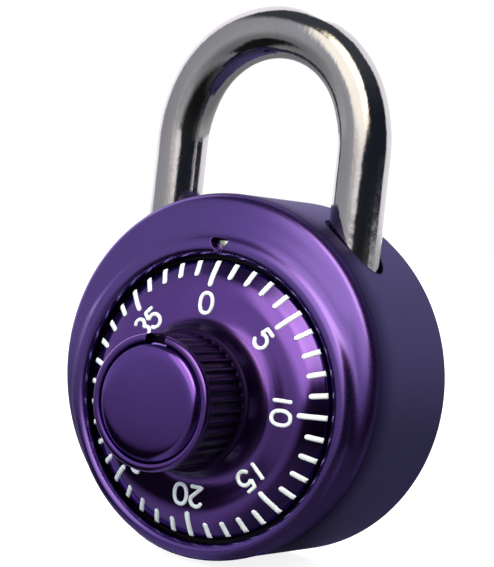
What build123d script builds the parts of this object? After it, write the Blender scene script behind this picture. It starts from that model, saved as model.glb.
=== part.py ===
from build123d import *
import math
import os

# Combination dial padlock, drum body 48 mm across, shackle of 7 mm rod.
# Frame: origin at the centre of the flat back face, +Z up through the
# shackle, the dial faces -Y, +X to the right as the dial is read.

# ---------------------------------------------------------------- casing
case_r = 24.0            # drum outer radius
case_front = -20.55      # plane of the front crescent face
case_fillet = 2.9        # round of the front edge
case_wall = 0.8          # outer case sheet
rim_back = -0.15         # back of the rolled rim
rim_inner_r = 21.1       # mouth of the rolled rim
rim_front = -1.0         # inside of the rolled rim
dial_z = -2.6            # dial axis sits below the drum axis
opening_r = 18.5         # dial opening in the outer case
bead_top = -21.95        # crest of the bead around the dial
bead_r = 19.75           # radius of the bead's crest
bead_foot_r = 21.35      # foot of the bead, just inside the drum at the bottom

inner_r = 23.15          # inner case, outside radius
inner_wall = 0.95
inner_front = -19.75     # inner case, front face
inner_floor = -18.55     # inner case, back of the front wall
inner_back = -1.75       # open end of the inner case

plate_flange = -1.05
plate_inside = -1.70
plate_r = 22.95
plateau_r = 20.9
pocket_r = 19.9
pocket_y = -1.0

# ---------------------------------------------------------------- shackle
rod_r = 3.5
leg_x = 13.85            # leg axes at +-leg_x
rod_y = -11.45           # plane of the shackle
bow_z0 = 30.49
bow_side_r = 18.25
bow_crown_r = 13.43
toe_end = 9.9
heel_end = -13.2
lift = 12.0
hole_outer_r = 4.15      # leg holes in the outer case
hole_inner_r = 3.75      # leg holes in the inner case
notch_floor_x = -12.35
stop_pin = (17.25, 1.8)
stop_pin_r = 1.0
swivel_core_r = 2.3

# ---------------------------------------------------------------- dial
dial_r = 17.95
tick_plane = -21.10
knob_r = 8.45
flutes = 40
flute_r = 0.62
flute_centre = 8.82
spindle_r = 2.05
hub_bore = 2.10
hub_r = 3.0
wheel_bore = 3.05
wheel_r = 9.7
gate_angle = 140.0       # from +X towards +Z, under the fence at rest
gate_width = 3.0
gate_depth = 2.6

# ---------------------------------------------------------------- lock work
pivot = (-16.0, -6.0)
pivot_r = 1.25
pivot_bore = 1.30
anchor = (-19.3, -1.5)
anchor_r = 0.7
fence_gap = 0.3
lever_y = (-13.9, -12.3)
latch_y = (-12.0, -9.6)

os.makedirs("parts", exist_ok=True)


def edges_of(pts):
    """Closed outline from (x, y) or (x, y, fillet radius) corners."""
    n = len(pts)
    ends = []
    for i in range(n):
        p = pts[i]
        x, y = p[0], p[1]
        r = p[2] if len(p) > 2 else 0.0
        if r <= 0:
            ends.append(((x, y), None, (x, y)))
            continue
        a, b = pts[i - 1], pts[(i + 1) % n]
        ux, uy = a[0] - x, a[1] - y
        vx, vy = b[0] - x, b[1] - y
        lu, lv = math.hypot(ux, uy), math.hypot(vx, vy)
        ux, uy, vx, vy = ux / lu, uy / lu, vx / lv, vy / lv
        half = math.acos(max(-1.0, min(1.0, ux * vx + uy * vy))) / 2
        t = r / math.tan(half)
        bx, by = ux + vx, uy + vy
        lb = math.hypot(bx, by)
        d = r / math.sin(half)
        cx, cy = x + bx / lb * d, y + by / lb * d
        mid = (cx - bx / lb * r, cy - by / lb * r)
        ends.append(((x + ux * t, y + uy * t), mid, (x + vx * t, y + vy * t)))
    out = []
    for i in range(n):
        start, mid, stop = ends[i]
        if mid is not None:
            out.append(ThreePointArc(start, mid, stop))
        nxt = ends[(i + 1) % n][0]
        if math.hypot(stop[0] - nxt[0], stop[1] - nxt[1]) > 1e-6:
            out.append(Line(stop, nxt))
    return out


def outline(pts):
    return make_face(edges_of(pts))


def turned(pts, z=0.0, x=0.0):
    """Solid of revolution about a line along Y; corners are (radius, y[, fillet])."""
    return Pos(x, 0, z) * revolve(outline(pts), Axis.Y, 360)


def drum(r, y0, y1, x=0.0, z=0.0, bore=0.0):
    body = Pos(x, (y0 + y1) / 2, z) * Rot(90, 0, 0) * Cylinder(r, y1 - y0)
    if bore > 0:
        body -= Pos(x, (y0 + y1) / 2, z) * Rot(90, 0, 0) * Cylinder(bore, y1 - y0 + 2)
    return body


def slab(pts, y0, y1):
    """Flat plate with an (x, z) outline, from y0 to y1."""
    face = outline(pts)
    solid = extrude(face, amount=y1 - y0)
    return Pos(0, y1, 0) * Rot(90, 0, 0) * solid


def block(x0, x1, y0, y1, z0, z1):
    return Pos((x0 + x1) / 2, (y0 + y1) / 2, (z0 + z1) / 2) * Box(x1 - x0, y1 - y0, z1 - z0)


def polar(r, deg, cz=dial_z):
    return (r * math.cos(math.radians(deg)), cz + r * math.sin(math.radians(deg)))


def one(shape):
    """The largest solid of a shape."""
    return sorted(shape.solids(), key=lambda s: s.volume)[-1]


parts = {}

# ================================================================ outer case
shell = turned([
    (0, case_front), (case_r, case_front, case_fillet), (case_r, rim_back, 0.7),
    (0, rim_back)])
bead = turned([
    (opening_r, -19.0), (opening_r, bead_top, 0.75), (bead_r + 0.4, bead_top, 1.5),
    (bead_foot_r, case_front - 0.15, 1.4), (bead_foot_r, -18.6)], z=dial_z)
outer = shell + bead
outer -= turned([
    (0, inner_front), (case_r - case_wall, inner_front, case_fillet - case_wall),
    (case_r - case_wall, rim_front), (0, rim_front)])
outer -= drum(rim_inner_r, rim_front - 0.5, 1.0)
outer -= drum(opening_r, bead_top - 2, inner_front + 0.5, z=dial_z)
# hollow behind the bead
outer -= drum(20.5, bead_top + 1.0, -19.0, z=dial_z, bore=opening_r + 0.8) & drum(case_r - 1.3, -30, 0)
for sx in (-1, 1):
    outer -= Pos(sx * leg_x, rod_y, 19) * Cylinder(hole_outer_r, 22)
# index hole above the dial, a rounded triangle pointing at the dial
ix = 1.34
index_top = dial_z + 20.72
index_tip = dial_z + 18.74
im = index_tip + 0.72
tri = outline([(-ix, index_top, 0.32), (ix, index_top, 0.32), (0.92, im, 0.9), (0.0, index_tip - 0.12, 0.2), (-0.92, im, 0.9)])
outer -= Pos(0, -19.4, 0) * Rot(90, 0, 0) * extrude(tri, amount=5)
pip = (0.1, inner_front + 0.75, dial_z + 19.95)
outer -= Pos(*pip) * Sphere(1.40)
parts["outer_case"] = one(outer)

# ================================================================ inner case
inner = turned([
    (0, inner_front), (inner_r, inner_front, case_fillet - case_wall + 0.05),
    (inner_r, inner_back), (inner_r - inner_wall, inner_back),
    (inner_r - inner_wall, inner_floor, 1.1), (0, inner_floor)])
inner -= drum(3.6, -21, -18, z=dial_z)
inner -= drum(pivot_r, -21, -18, x=pivot[0], z=pivot[1])
inner -= drum(anchor_r, -21, -18, x=anchor[0], z=anchor[1])
inner -= drum(stop_pin_r, -21, -18, x=stop_pin[0], z=stop_pin[1])
for sx in (-1, 1):
    inner -= Pos(sx * leg_x, rod_y, 19) * Cylinder(hole_inner_r, 22)
# pressed pip that shows through the index hole
inner += Pos(*pip) * Sphere(1.30) & block(-3, 3, -22, inner_front + 0.3, pip[2] - 3, pip[2] + 3)
parts["inner_case"] = one(inner)

# ================================================================ back plate
plate = turned([
    (0, plate_inside), (plate_r, plate_inside), (plate_r, plate_flange),
    (plateau_r + 0.02, plate_flange, 0.25), (plateau_r, 0, 0.45), (0, 0)])
plate -= turned([(0, plate_inside - 1), (pocket_r, plate_inside - 1), (pocket_r, pocket_y, 0.3), (0, pocket_y)])
# bosses that carry the rear ends of the pins
for (px, pz), pr, br in ((pivot, pivot_r, 2.4), (anchor, anchor_r, 1.5), (stop_pin, stop_pin_r, 1.9)):
    plate += drum(br, plate_inside, pocket_y + 0.2, x=px, z=pz) & drum(plate_r - 0.2, -3, 0)
    plate -= drum(pr, plate_inside - 1, -0.5, x=px, z=pz)
parts["back_plate"] = one(plate)

# ================================================================ fixed pins
parts["pivot_pin"] = drum(pivot_r, inner_front + 0.05, -0.5, x=pivot[0], z=pivot[1])
parts["spring_anchor_pin"] = drum(anchor_r, inner_front + 0.05, -0.5, x=anchor[0], z=anchor[1])
parts["heel_stop_pin"] = drum(stop_pin_r, inner_front + 0.05, -0.5, x=stop_pin[0], z=stop_pin[1])

# ================================================================ wheel hub
hub = turned([
    (hub_bore, -20.0), (4.2, -20.0, 0.15), (4.2, inner_front), (3.6, inner_front),
    (3.6, inner_floor), (5.6, inner_floor), (5.6, -18.05), (hub_r, -18.05),
    (hub_r, -14.05), (2.65, -14.05), (2.65, -13.65), (hub_r, -13.65),
    (hub_r, -13.45), (hub_bore, -13.45)], z=dial_z)
parts["wheel_hub"] = one(hub)
parts["wheel_spring_washer"] = one(turned([
    (3.08, -18.04), (3.3, -18.04), (6.2, -17.82), (6.2, -17.66), (6.05, -17.66), (3.08, -17.88)], z=dial_z))
spacers = [drum(5.5, -16.52, -15.88, z=dial_z, bore=hub_r + 0.02), drum(5.5, -14.72, -14.1, z=dial_z, bore=hub_r + 0.02)]
parts["wheel_spacers"] = Compound(children=[one(s) for s in spacers])
ring = drum(4.5, -14.04, -13.66, z=dial_z, bore=2.67)
ring -= block(-1.6, 1.6, -14.5, -13.2, dial_z - 6, dial_z)
parts["hub_retaining_ring"] = one(ring)

# ================================================================ guide block
guide = block(9.6, 18.0, inner_floor, -7.35, 5.0, 11.0)
guide &= drum(inner_r - inner_wall - 0.25, -25, 0)
guide -= drum(wheel_r + 0.6, -25, 0, z=dial_z)
guide -= Pos(leg_x, rod_y, 8) * Cylinder(rod_r + 0.08, 10)
guide = fillet(guide.edges().filter_by(Axis.Z).filter_by(lambda e: e.center().Y > -8.0 and e.center().X < 11), 1.0)
parts["heel_guide_block"] = one(guide)

# ================================================================ shackle
bow_c = leg_x - bow_side_r
h = math.sqrt((bow_side_r - bow_crown_r) ** 2 - bow_c ** 2)
crown_z = bow_z0 + h
jx = -bow_c / (bow_side_r - bow_crown_r)
jz = h / (bow_side_r - bow_crown_r)
jp = (bow_c + bow_side_r * jx, bow_z0 + bow_side_r * jz)
half_j = math.atan2(jz, jx) / 2
mp = (bow_c + bow_side_r * math.cos(half_j), bow_z0 + bow_side_r * math.sin(half_j))
bow_top = crown_z + bow_crown_r


def arc3(a, b, c):
    return ThreePointArc((a[0], rod_y, a[1]), (b[0], rod_y, b[1]), (c[0], rod_y, c[1]))


path = Wire([
    Line((leg_x, rod_y, heel_end), (leg_x, rod_y, bow_z0)),
    arc3((leg_x, bow_z0), mp, jp),
    arc3(jp, (0, bow_top), (-jp[0], jp[1])),
    arc3((-jp[0], jp[1]), (-mp[0], mp[1]), (-leg_x, bow_z0)),
    Line((-leg_x, rod_y, bow_z0), (-leg_x, rod_y, toe_end)),
])
section = Plane(origin=(leg_x, rod_y, heel_end), z_dir=(0, 0, 1)) * Circle(rod_r)
shackle = sweep(section, path=path)
# rounded heel end and bevelled toe end
for x, z in ((leg_x, heel_end), (-leg_x, toe_end)):
    cone = Pos(x, rod_y, z) * (Cylinder(rod_r + 1, 3) - Pos(0, 0, 0.75) * Cone(rod_r - 0.75, rod_r + 0.75, 1.5))
    cone &= Pos(x, rod_y, z + 0.37) * Box(12, 12, 0.76)
    shackle -= cone
# locking notch on the toe leg's inner side, with the cam face below it
shackle -= slab([(notch_floor_x, 17.9, 0.25), (notch_floor_x, 13.72), (-10.2, 10.25), (-9.0, 10.25), (-9.0, 17.9)], rod_y - 6, rod_y + 6)
# stop slot on the heel leg's outer side and swivel groove below it
slot_floor = stop_pin[0] - stop_pin_r - 0.1
shackle -= block(slot_floor, 20, rod_y - 6, rod_y + 6, stop_pin[1] - lift - 0.05 - stop_pin_r, stop_pin[1] + stop_pin_r + 0.05)
g0 = stop_pin[1] - lift - stop_pin_r - 0.05
shackle -= Pos(leg_x, rod_y, g0 + stop_pin_r + 0.05) * (Cylinder(rod_r + 1, 2 * stop_pin_r + 0.1) - Cylinder(swivel_core_r, 2 * stop_pin_r + 0.2))
parts["shackle"] = one(shackle)

# ================================================================ dial
t = tick_plane
dial = turned([
    (spindle_r, t + 0.50), (5.0, t + 0.50), (5.0, t - 0.4), (8.0, t - 0.9), (13.6, t - 0.25),
    (16.6, t + 0.45), (16.6, t + 0.8), (dial_r, t + 0.8), (dial_r, t + 0.32, 0.08),
    (17.45, t - 0.12, 0.12), (15.7, t - 1.02, 1.5), (14.4, t - 1.40, 2.0), (10.75, t - 1.92, 0.9),
    (9.35, t - 3.1, 0.7), (8.95, t - 4.55, 0.15), (knob_r, t - 4.55),
    (knob_r, t - 13.0, 0.28), (7.6, t - 13.0, 0.12), (7.6, t - 12.35), (6.9, t - 12.35),
    (6.9, t - 10.6), (spindle_r, t - 10.6)], z=dial_z)
cutters = []
for i in range(flutes):
    a = 2 * math.pi * (i + 0.5) / flutes
    cx, cz = flute_centre * math.sin(a), dial_z + flute_centre * math.cos(a)
    cutters.append(drum(flute_r, t - 13.6, t - 4.62, x=cx, z=cz))
dial -= cutters
# pointer notch in the knob's rim, in line with the dial's zero
dial -= block(-1.4, 1.4, t - 14, t - 12.15, dial_z + 7.2, dial_z + 10)
parts["dial"] = one(dial)

parts["knob_cap"] = one(turned([
    (0, t - 10.65), (6.85, t - 10.65), (6.85, t - 12.38), (7.32, t - 12.38), (7.32, t - 12.95, 0.45),
    (6.4, t - 13.32, 1.6), (3.0, t - 13.45, 3.0), (0, t - 13.47)], z=dial_z))

spindle_end = -11.65
spindle = drum(spindle_r, t - 10.55, spindle_end, z=dial_z)
# two flats that drive the cam, and a clip groove behind it
for s in (-1, 1):
    spindle -= block(s * 1.5 if s > 0 else -4, 4 if s > 0 else -1.5, -13.42, spindle_end + 1, dial_z - 4, dial_z + 4)
spindle -= drum(3.5, -12.28, -11.9, z=dial_z, bore=1.45)
parts["dial_spindle"] = one(spindle)

cam_bore = drum(spindle_r + 0.02, -13.5, -12.0, z=dial_z) & block(-1.52, 1.52, -14, -11, dial_z - 4, dial_z + 4)


def gate(y0, y1, extra=0.0):
    """Square gate under the fence."""
    c = slab([(wheel_r - gate_depth, -gate_width / 2, 0.4), (wheel_r + 2, -gate_width / 2 - extra),
              (wheel_r + 2, gate_width / 2), (wheel_r - gate_depth, gate_width / 2, 0.4)], y0, y1)
    return Pos(0, 0, dial_z) * Rot(0, -gate_angle, 0) * c


def tab(r0, r1, deg, width, y0, y1):
    c = block(r0, r1, y0, y1, -width / 2, width / 2)
    return Pos(0, 0, dial_z) * Rot(0, -deg, 0) * c


def wheel(y0, y1, bore):
    w = turned([(0.5, y0), (wheel_r, y0, 0.12), (wheel_r, y1, 0.12), (0.5, y1)], z=dial_z)
    w += drum(1.0, y0, y1, z=dial_z)
    w -= drum(bore, y0 - 1, y1 + 1, z=dial_z) if bore else cam_bore
    return w


fly_r0, fly_r1, fly_w = 6.3, 8.3, 1.4
step = math.degrees((fly_w + 0.06) / 7.3) + 1.2
cam = wheel(-13.3, -12.3, 0) - gate(-14, -11, 1.6)
cam += tab(fly_r0, fly_r1, 20, fly_w, -14.45, -13.25)
parts["drive_cam"] = one(cam)
mid = wheel(-15.8, -14.8, wheel_bore) - gate(-17, -13)
mid += tab(fly_r0, fly_r1, 20 - step, fly_w, -14.85, -13.65)
mid += tab(fly_r0, fly_r1, 250, fly_w, -16.35, -15.75)
parts["middle_wheel"] = one(mid)
last = wheel(-17.6, -16.6, wheel_bore) - gate(-19, -15)
last += tab(fly_r0, fly_r1, 250 - step, fly_w, -16.65, -16.05)
parts["last_wheel"] = one(last)
clip = drum(3.2, -12.26, -11.92, z=dial_z, bore=1.47)
clip -= block(-0.95, 0.95, -13, -11, dial_z, dial_z + 5)
parts["cam_retaining_clip"] = one(clip)
parts["dial_washer"] = one(drum(4.9, -20.56, -20.06, z=dial_z, bore=spindle_r + 0.0))

# ================================================================ fence lever
P = pivot
C = (0.0, dial_z)
D = math.hypot(C[0] - P[0], C[1] - P[1])
rf = wheel_r + fence_gap
fx, fz = polar(rf, gate_angle)
ux, uz = fx - P[0], fz - P[1]
lu = math.hypot(ux, uz)
ux, uz = ux / lu, uz / lu
nx, nz = -uz, ux


def lv(s, n):
    """Point s along the lever from the pivot and n outward from the wheels."""
    return (P[0] + ux * s + nx * n, P[1] + uz * s + nz * n)


lever = slab([
    lv(-1.0, 0.9) + (0.0,), lv(lu - 1.9, 0.9) + (0.0,), lv(lu - 1.2, 0.0) + (0.3,), lv(lu + 1.2, 0.0) + (0.3,),
    lv(lu + 1.2, 2.4) + (0.8,), lv(lu - 3.5, 3.6) + (2.0,), lv(2.0, 3.0) + (2.0,), lv(-1.0, 2.0)], *lever_y)
lever += drum(3.0, lever_y[0] - 0.4, lever_y[1], x=P[0], z=P[1])
# tail that rests against the anchor pin
ax, az = anchor[0] - P[0], anchor[1] - P[1]
la = math.hypot(ax, az)
reach = la - anchor_r - 0.06
tx, tz = ax / la, az / la
tail = slab([(P[0] - tz * 1.1, P[1] + tx * 1.1), (P[0] + tx * reach - tz * 1.1, P[1] + tz * reach + tx * 1.1),
             (P[0] + tx * reach + tz * 1.1, P[1] + tz * reach - tx * 1.1), (P[0] + tz * 1.1, P[1] - tx * 1.1)], *lever_y)
lever += tail
# the fence, a bar across all three wheels
lever += slab([lv(lu - 1.2, 0.0) + (0.25,), lv(lu + 1.2, 0.0) + (0.25,), lv(lu + 1.2, 2.4) + (0.5,), lv(lu - 1.2, 2.4) + (0.5,)], -17.6, lever_y[1])
lpeg = lv(5.2, 2.0)
lever += drum(0.6, -16.6, lever_y[0] + 0.2, x=lpeg[0], z=lpeg[1])
lever -= drum(pivot_bore, -20, -5, x=P[0], z=P[1])
parts["fence_lever"] = one(lever)

# ================================================================ latch
latch = slab([
    (-18.2, -3.9), (-14.1, 3.6, 1.2), (-10.05, 8.9, 0.8), (-10.05, 13.95, 0.3), (-12.15, 13.95, 0.2),
    (-12.15, 15.5, 0.2), (-10.2, 17.2, 0.4), (-7.4, 17.2, 1.2), (-6.9, 8.4, 2.5), (-9.6, 2.2, 2.0), (-13.3, -7.3)], *latch_y)
latch += drum(3.0, latch_y[0] - 0.2, latch_y[1], x=P[0], z=P[1])
hpeg = (-11.9, 3.0)
latch += drum(0.6, latch_y[1] - 0.2, -7.2, x=hpeg[0], z=hpeg[1])
latch -= drum(pivot_bore, -20, -5, x=P[0], z=P[1])
parts["latch"] = one(latch)

parts["lever_spacer"] = one(drum(1.9, inner_floor, -14.4, x=P[0], z=P[1], bore=pivot_r))
parts["latch_spacer"] = one(drum(1.9, -9.5, plate_inside, x=P[0], z=P[1], bore=pivot_r))


# ================================================================ springs
def torsion_spring(y0, length, coil_r, wire, near, far, turns):
    """Coil about the pivot pin with two straight legs that bear on pins.

    near and far are (x, z, radius) of the pins the legs press against."""
    def aim(p, side):
        dx, dy = p[0] - P[0], -(p[1] - P[1])
        dist, beta = math.hypot(dx, dy), math.atan2(dy, dx)
        d = p[2] + wire + 0.04
        alpha = beta - math.asin(side * (d + coil_r) / dist)
        run = dx * math.cos(alpha) + dy * math.sin(alpha) + 1.2
        return alpha, run
    a0, l0 = aim(near, 1)
    a1, l1 = aim(far, -1)
    phi0, phi1 = a0 + math.pi / 2, a1 - math.pi / 2
    total = turns + ((phi1 - phi0) / (2 * math.pi)) % 1.0
    helix = Helix(pitch=length / total, height=length, radius=coil_r)
    body = sweep(Plane(origin=helix @ 0, z_dir=helix % 0) * Circle(wire), path=helix, is_frenet=True)
    # legs run on along the wire's own direction at each end of the coil
    body += extrude(Plane(origin=helix @ 0, z_dir=(helix % 0) * -1) * Circle(wire), amount=l0)
    body += extrude(Plane(origin=helix @ 1, z_dir=helix % 1) * Circle(wire), amount=l1)
    body = Rot(0, 0, math.degrees(phi0)) * body
    base = Plane(origin=(P[0], y0, P[1]), x_dir=(1, 0, 0), z_dir=(0, 1, 0))
    return base.location * body


on_anchor = (anchor[0], anchor[1], anchor_r)
parts["lever_spring"] = one(torsion_spring(-17.6, 2.6, 2.45, 0.25, on_anchor, (lpeg[0], lpeg[1], 0.6), 3))
parts["latch_spring"] = one(torsion_spring(-9.1, 1.7, 2.45, 0.25, on_anchor, (hpeg[0], hpeg[1], 0.6), 2))

for name, shape in parts.items():
    if isinstance(shape, Compound) and len(shape.solids()) == 1:
        shape = shape.solids()[0]
    export_step(shape, f"parts/{name}.step")
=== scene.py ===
import math

import bpy
import numpy as np
from mathutils import Matrix, Vector


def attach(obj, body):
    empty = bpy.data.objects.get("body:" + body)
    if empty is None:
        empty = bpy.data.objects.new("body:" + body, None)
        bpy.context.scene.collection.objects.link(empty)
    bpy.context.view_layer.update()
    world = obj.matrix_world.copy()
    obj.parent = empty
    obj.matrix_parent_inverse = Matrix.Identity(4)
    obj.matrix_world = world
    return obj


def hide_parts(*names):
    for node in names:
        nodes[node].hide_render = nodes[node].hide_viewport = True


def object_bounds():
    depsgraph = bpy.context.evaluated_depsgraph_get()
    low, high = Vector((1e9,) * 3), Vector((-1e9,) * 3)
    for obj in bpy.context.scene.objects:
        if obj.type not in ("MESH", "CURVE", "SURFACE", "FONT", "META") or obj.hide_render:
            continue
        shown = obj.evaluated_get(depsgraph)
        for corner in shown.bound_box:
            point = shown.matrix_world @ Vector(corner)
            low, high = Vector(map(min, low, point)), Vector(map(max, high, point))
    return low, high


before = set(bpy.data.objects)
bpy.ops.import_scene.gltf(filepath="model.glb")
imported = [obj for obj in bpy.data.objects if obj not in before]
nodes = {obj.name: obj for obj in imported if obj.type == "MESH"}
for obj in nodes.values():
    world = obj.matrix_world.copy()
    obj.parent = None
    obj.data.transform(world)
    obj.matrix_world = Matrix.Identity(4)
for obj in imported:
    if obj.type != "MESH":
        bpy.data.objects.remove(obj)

cad_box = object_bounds()
mm = 0.001

# ------------------------------------------------------------------ helpers


def new_material(name):
    m = bpy.data.materials.new(name)
    m.use_nodes = True
    t = m.node_tree
    t.nodes.clear()
    out = t.nodes.new("ShaderNodeOutputMaterial")
    sh = t.nodes.new("ShaderNodeBsdfPrincipled")
    t.links.new(sh.outputs["BSDF"], out.inputs["Surface"])
    return m, t, sh


def node(t, kind, **values):
    n = t.nodes.new(kind)
    for k, v in values.items():
        if hasattr(n, k):
            setattr(n, k, v)
        else:
            n.inputs[k].default_value = v
    return n


def math_node(t, op, a, b=None, clamp=False):
    n = t.nodes.new("ShaderNodeMath")
    n.operation = op
    n.use_clamp = clamp
    for i, v in enumerate((a, b)):
        if v is None:
            continue
        if isinstance(v, (int, float)):
            n.inputs[i].default_value = v
        else:
            t.links.new(v, n.inputs[i])
    return n.outputs[0]


def ramp(t, fac, stops, interpolation="EASE"):
    n = t.nodes.new("ShaderNodeValToRGB")
    n.color_ramp.interpolation = interpolation
    e = n.color_ramp.elements
    while len(e) > 1:
        e.remove(e[-1])
    e[0].position, e[0].color = stops[0][0], (*stops[0][1], 1)
    for p, c in stops[1:]:
        x = e.new(p)
        x.color = (*c, 1)
    t.links.new(fac, n.inputs[0])
    return n.outputs[0]


def mix_colour(t, fac, a, b, kind="MIX"):
    n = t.nodes.new("ShaderNodeMix")
    n.data_type = "RGBA"
    n.blend_type = kind
    for socket, v in ((n.inputs[0], fac), (n.inputs[6], a), (n.inputs[7], b)):
        if isinstance(v, (int, float)):
            socket.default_value = v
        elif isinstance(v, tuple):
            socket.default_value = (*v, 1)
        else:
            t.links.new(v, socket)
    return n.outputs[2]


def object_xyz(t):
    c = t.nodes.new("ShaderNodeTexCoord")
    s = t.nodes.new("ShaderNodeSeparateXYZ")
    t.links.new(c.outputs["Object"], s.inputs[0])
    return c.outputs["Object"], s.outputs[0], s.outputs[1], s.outputs[2]


def noise(t, vector, scale, detail=3.0, rough=0.5):
    n = node(t, "ShaderNodeTexNoise", Scale=scale, Detail=detail, Roughness=rough)
    t.links.new(vector, n.inputs["Vector"])
    return n.outputs["Fac"]


def bump(t, sh, height, strength, distance):
    n = node(t, "ShaderNodeBump", Strength=strength, Distance=distance)
    t.links.new(height, n.inputs["Height"])
    t.links.new(n.outputs[0], sh.inputs["Normal"])
    return n


dial_z = -2.6              # height of the dial's axis
t0 = -21.10                # plane of the dial's tick circle


def smooth_step(t, value, lo, hi, a=0.0, b=1.0):
    """a below lo, b above hi, eased between; value, lo and hi may be sockets."""
    n = t.nodes.new("ShaderNodeMapRange")
    n.interpolation_type = "SMOOTHSTEP"
    for i, v in enumerate((value, lo, hi, a, b)):
        if isinstance(v, (int, float)):
            n.inputs[i].default_value = v
        else:
            t.links.new(v, n.inputs[i])
    return n.outputs[0]


def times(t, *values):
    out = values[0]
    for v in values[1:]:
        out = math_node(t, "MULTIPLY", out, v)
    return out


# ------------------------------------------------------------------ materials

def from_axis(t, x, z):
    """Distance from the dial's axis."""
    zz = math_node(t, "SUBTRACT", z, dial_z * mm)
    return math_node(t, "SQRT", math_node(t, "ADD", math_node(t, "MULTIPLY", x, x), math_node(t, "MULTIPLY", zz, zz)))


def case_material():
    m, t, sh = new_material("anodised_case")
    v, x, y, z = object_xyz(t)
    fine = noise(t, v, 5200, 2.0)
    broad = noise(t, v, 110, 3.0)
    # bright satin on the face and bead, duller and greyer on the drum's wall; the wall's front towards the rounding is
    # painted dark as shade
    mask = smooth_step(t, y, -20.2 * mm, -19.0 * mm)
    c = mix_colour(t, mask, (0.150, 0.073, 0.410), mix_colour(t, smooth_step(t, y, -19.6 * mm, -14.5 * mm), (0.024, 0.022, 0.076), (0.080, 0.075, 0.188)))
    c = mix_colour(t, 0.10, c, ramp(t, broad, [(0.3, (0.7, 0.7, 0.7)), (0.7, (1.25, 1.25, 1.25))]), "MULTIPLY")
    # painted shade on the lip's edge inside the dial opening
    c = mix_colour(t, smooth_step(t, from_axis(t, x, z), 18.49 * mm, 18.70 * mm, 0.62, 0.0), c, (0.018, 0.012, 0.060))
    t.links.new(c, sh.inputs["Base Color"])
    t.links.new(smooth_step(t, mask, 0.0, 1.0, 1.0, 0.80), sh.inputs["Metallic"])
    r = smooth_step(t, mask, 0.0, 1.0, 0.27, 0.55)
    rr = math_node(t, "ADD", r, math_node(t, "MULTIPLY", math_node(t, "SUBTRACT", fine, 0.5), 0.08))
    t.links.new(rr, sh.inputs["Roughness"])
    t.links.new(smooth_step(t, mask, 0.0, 0.8, 0.55, 0.0), sh.inputs["Coat Weight"])
    sh.inputs["Coat Roughness"].default_value = 0.18
    sh.inputs["Coat IOR"].default_value = 1.72
    sh.inputs["Specular IOR Level"].default_value = 0.25
    sh.inputs["Specular Tint"].default_value = (0.55, 0.48, 0.66, 1)
    bump(t, sh, fine, 0.08, 0.00002)
    return m


def lacquer_material(name, low, high, rough, painted_recess_shade=False):
    m, t, sh = new_material(name)
    v, x, y, z = object_xyz(t)
    broad = noise(t, v, 150, 3.0)
    fine = noise(t, v, 1100, 3.0)
    c = mix_colour(t, ramp(t, broad, [(0.35, (0, 0, 0)), (0.65, (1, 1, 1))]), low, high)
    if painted_recess_shade:
        # painted shade in the flutes, the pointer notch and the cove
        r = from_axis(t, x, z)
        side = times(t, smooth_step(t, y, (t0 - 12.80) * mm, (t0 - 12.55) * mm), smooth_step(t, y, (t0 - 4.62) * mm, (t0 - 4.45) * mm, 1.0, 0.0))
        groove = smooth_step(t, r, 8.20 * mm, 8.44 * mm, 0.985, 0.88)
        cove = times(t, smooth_step(t, r, 9.65 * mm, 10.75 * mm, 0.86, 0.0), smooth_step(t, y, (t0 - 4.62) * mm, (t0 - 4.50) * mm))
        c = mix_colour(t, math_node(t, "ADD", times(t, side, groove), cove), c, (0.012, 0.007, 0.030))
        # painted dark blue reflection towards the dial's outer edge, between the ticks
        c = mix_colour(t, smooth_step(t, r, 15.0 * mm, 17.2 * mm, 0.0, 0.5), c, (0.032, 0.022, 0.170))
    t.links.new(c, sh.inputs["Base Color"])
    sh.inputs["Metallic"].default_value = 1.0
    rr = math_node(t, "MULTIPLY_ADD", fine, 0.05)
    rr.node.inputs[2].default_value = rough
    if painted_recess_shade:
        rr = math_node(t, "MULTIPLY_ADD", math_node(t, "MAXIMUM", side, cove), 0.28)
        rr.node.inputs[2].default_value = rough + 0.02
        t.links.new(smooth_step(t, math_node(t, "MAXIMUM", side, cove), 0.0, 0.8, 0.5, 0.03), sh.inputs["Coat Weight"])
    t.links.new(rr, sh.inputs["Roughness"])
    if not painted_recess_shade:
        sh.inputs["Coat Weight"].default_value = 0.5
    sh.inputs["Coat Roughness"].default_value = 0.06
    bump(t, sh, fine, 0.04, 0.00002)
    return m


def steel_material(name, colour, rough, streak=(1.0, 1.0, 1.0), strength=0.05, scale=1500, var=0.06):
    m, t, sh = new_material(name)
    v, x, y, z = object_xyz(t)
    mp = t.nodes.new("ShaderNodeMapping")
    mp.inputs["Scale"].default_value = streak
    t.links.new(v, mp.inputs["Vector"])
    fine = noise(t, mp.outputs[0], scale, 3.0)
    broad = noise(t, v, 130, 3.0)
    dark = tuple(c * 0.94 for c in colour)
    c = mix_colour(t, ramp(t, broad, [(0.3, (0, 0, 0)), (0.7, (1, 1, 1))]), dark, colour)
    t.links.new(c, sh.inputs["Base Color"])
    sh.inputs["Metallic"].default_value = 1.0
    rr = math_node(t, "MULTIPLY_ADD", fine, var)
    rr.node.inputs[2].default_value = rough
    t.links.new(rr, sh.inputs["Roughness"])
    bump(t, sh, fine, strength, 0.00002)
    return m


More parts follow.
